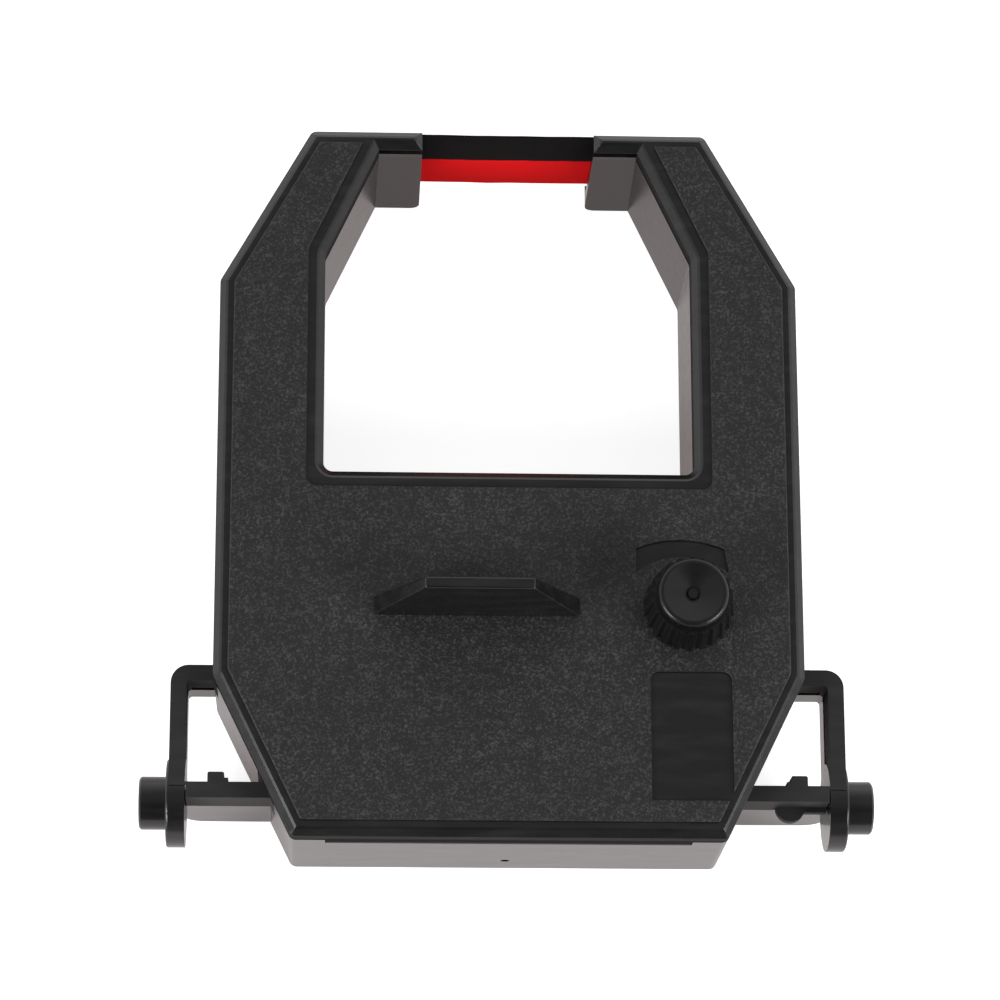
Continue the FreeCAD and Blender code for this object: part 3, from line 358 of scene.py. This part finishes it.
def span_wave(points):
    """Moves the free span inwards along Y by WAVE_REACH times one less the mean of two crossing sine waves,
    one along X and one that leans with Z, and fades them out towards the ends of the span with the square
    of one less the square of the distance from its middle, as a share of its half length."""
    x, y, z = points.T
    share = np.clip(1 - (x / SPAN_HALF) ** 2, 0, 1) ** 2
    free = (y > ribbon_high.y - SPAN_DEPTH) * share
    up = (z - ribbon_low.z) / RIBBON_HEIGHT
    phase = 2 * math.pi * x / WAVE_LENGTH
    wave = 0.6 * np.sin(phase + 1.1 * up) + 0.4 * np.sin(1.7 * phase - 2.4 * up + 0.8)
    moved = points.copy()
    moved[:, 1] -= WAVE_REACH * free * (1 - wave)
    return moved


def make_ribbon():
    work = bmesh.new()
    work.from_mesh(nodes["ink_ribbon"].data)
    bmesh.ops.remove_doubles(work, verts=work.verts, dist=SAME_POINT)
    bmesh.ops.dissolve_limit(work, angle_limit=FLAT_TURN, verts=work.verts, edges=work.edges)
    rows = np.linspace(ribbon_low.z, ribbon_high.z, RIBBON_ROWS + 1)[1:-1]
    cut_across(work, rows, Vector((0, 0, 1)), lambda face: True)
    columns = np.linspace(-SPAN_HALF, SPAN_HALF, SPAN_COLUMNS + 1)
    back = ribbon_high.y - SPAN_DEPTH
    cut_across(work, columns, Vector((1, 0, 0)), lambda face: face.calc_center_median().y > back)
    mesh = bpy.data.meshes.new("ribbon_strip")
    work.to_mesh(mesh)
    work.free()
    points = np.empty(len(mesh.vertices) * 3)
    mesh.vertices.foreach_get("co", points)
    mesh.vertices.foreach_set("co", span_wave(points.reshape(-1, 3)).ravel())
    mesh.shade_smooth()
    mesh.set_sharp_from_angle(angle=SHARP_TURN)
    strip = bpy.data.objects.new("fabric_ribbon", mesh)
    bpy.context.scene.collection.objects.link(strip)
    print("ribbon points", len(mesh.vertices), "faces", len(mesh.polygons))
    return strip


# %% [markdown]
# The fabric is inked black above and red below. The two inks meet in a line that wanders by a tenth of a
# millimetre, as ink creeps along threads. The weave is two sines that cross, one for each set of threads.

# %% Ribbon fabric
INK_BLACK = grey(0.001)
INK_BLACK_WORN = grey(0.003)
INK_RED = (0.90, 0.004, 0.006)
INK_RED_WORN = (0.96, 0.007, 0.010)
INK_LINE_Z = ribbon_low.z + 0.5 * RIBBON_HEIGHT
INK_CREEP = 0.25 * MM
INK_BLEND = 0.12 * MM
THREAD = 0.16 * MM


def ribbon_fabric():
    shader = Shader("ribbon_fabric")
    x, z = shader.axis("X"), shader.axis("Z")
    warp = (x * (2 * math.pi / THREAD)).calc("SINE")
    weft = (z * (2 * math.pi / THREAD)).calc("SINE")
    weave = warp * weft * 0.5 + 0.5
    wander = shader.noise(0.9 * MM, detail=3.0) - 0.5
    is_black = (z + wander * INK_CREEP).above(INK_LINE_Z, INK_BLEND)
    worn = shader.noise(1.6 * MM, detail=3.0, stretch=(2.5, 1, 1))
    black = shader.colours(INK_BLACK, INK_BLACK_WORN, worn)
    red = shader.colours(INK_RED, INK_RED_WORN, worn * 0.7 + weave * 0.3)
    shader.set(Base_Color=shader.colours(red, black, is_black), Roughness=0.70 + 0.2 * weave,
               Specular_IOR_Level=0.11)
    shader.bump(weave, 0.02 * MM)
    return shader


ribbon = make_ribbon()
ribbon.data.materials.append(ribbon_fabric().material)
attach(ribbon, "shell")
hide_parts("ink_ribbon")

# %% [markdown]

# %% [markdown]
# The camera stands where the photograph's outline puts it: in front of the part, well above it, with a long
# lens. Its axes are written as the directions to the picture's right, down and away from it.

# %% Camera
CAMERA_PLACE = Vector((-17.806, -112.549, 387.211)) * MM
CAMERA_RIGHT = Vector((0.99900, -0.00209, 0.04475))
CAMERA_DOWN = Vector((0.01070, -0.95890, -0.28353))
CAMERA_AWAY = Vector((0.04350, 0.28372, -0.95792))
FOCAL_PIXELS = 3866.0
PHOTO_SIZE = 1000
SENSOR_WIDTH = 36.0
NEAREST_SEEN = 10 * MM

camera_data = bpy.data.cameras.new("camera")
camera_data.sensor_width = SENSOR_WIDTH
camera_data.lens = SENSOR_WIDTH * FOCAL_PIXELS / PHOTO_SIZE
camera_data.clip_start = NEAREST_SEEN
camera = bpy.data.objects.new("camera", camera_data)
turn = Matrix((CAMERA_RIGHT, -CAMERA_DOWN, -CAMERA_AWAY)).transposed()
camera.matrix_world = Matrix.Translation(CAMERA_PLACE) @ turn.to_4x4()
bpy.context.scene.collection.objects.link(camera)
bpy.context.scene.camera = camera


# %% [markdown]
# The light is a pale room: bright at the back and sides and dimmer overhead, with its dark opening at the
# front, where the camera looks in. Two large soft lamps stand beside that opening. Camera rays that miss the
# part see plain white. A picture of a room could light the part too, but sums on the direction need no file.

# %% World
HORIZON, ZENITH = 1.3, 0.35
HORIZON_TOP, ZENITH_FOOT = 0.2, 0.9
OPENING = 0.85
OPENING_EDGE = -0.4


def make_world():
    """Strength falls from HORIZON to ZENITH with height, and by the share OPENING towards the front."""
    room = Shader("pale_room", bpy.data.worlds.new, "Generated")
    up = {"Value": room.axis("Z"), "From Min": HORIZON_TOP, "From Max": ZENITH_FOOT}
    front = {"Value": room.axis("Y"), "From Min": 0.0, "From Max": OPENING_EDGE}
    height, ahead = room.add("MapRange", up), room.add("MapRange", front)
    level = (HORIZON - (HORIZON - ZENITH) * height) * (1 - OPENING * ahead)
    seen = room.add("LightPath", output="Is Camera Ray")
    room.set(Color=(1, 1, 1, 1), Strength=level * (1 - seen) + seen)
    bpy.context.scene.world = room.material


make_world()

# %% [markdown]
# The floor is one wide sheet just under the part. It is white to the camera by its own glow, not by strong
# lamps, so the black plastic keeps its tone, and the part's shadow still falls on it.

# %% Floor
FLOOR_SIZE = 6.0
FLOOR_DROP = 0.02 * MM
FLOOR_COLOUR = grey(0.8)
FLOOR_GLOW = 0.78
MIRRORED_GLOW = 0.33
WARM_BOUNCE = (1.0, 0.83, 0.82)


def make_floor():
    """A wide white sheet under the part, which shows plain white to the camera with a faint shadow, and a
    little warmer in reflections."""
    bpy.ops.mesh.primitive_plane_add(size=FLOOR_SIZE, location=(0, 0, -FLOOR_DROP))
    floor = bpy.context.object
    floor.name = "floor"
    shader = Shader("floor_white")
    shader.set(Base_Color=(*FLOOR_COLOUR, 1), Roughness=0.9, Specular_IOR_Level=0.0)
    path = shader.add("LightPath", output="Is Camera Ray")
    glossy = shader.add("LightPath", output="Is Glossy Ray")
    through = shader.add("LightPath", output="Is Transmission Ray")
    shader.set(Emission_Color=shader.colours((1, 1, 1), WARM_BOUNCE, glossy),
               Emission_Strength=FLOOR_GLOW * path + MIRRORED_GLOW * (glossy + through))
    floor.data.materials.append(shader.material)


make_floor()

# %% [markdown]
# The lamps are round and wider than the part is long, so that their shadows have soft edges. They face the
# part's middle from both sides.

# %% Lamps
LAMP_SIZE = 0.30
LAMP_POWER = 2.6
LAMP_OUT, LAMP_FRONT, LAMP_UP = 0.45, -0.30, 0.30


def make_lamp(name, place):
    """A round area lamp whose light leaves along its own -Z, turned to the origin."""
    data = bpy.data.lights.new(name, "AREA")
    data.shape = "DISK"
    data.size = LAMP_SIZE
    data.energy = LAMP_POWER
    lamp = bpy.data.objects.new(name, data)
    lamp.location = place
    lamp.rotation_euler = (-Vector(place)).to_track_quat("-Z", "Y").to_euler()
    bpy.context.scene.collection.objects.link(lamp)
    print(name, "at", place)


make_lamp("left_softbox", (-LAMP_OUT, LAMP_FRONT, LAMP_UP))
make_lamp("right_softbox", (LAMP_OUT, LAMP_FRONT, LAMP_UP))
bpy.context.scene.view_settings.view_transform = "Standard"

# %% [markdown]
# Last, the view layer is brought up to date.

# %% Update
bpy.context.view_layer.update()
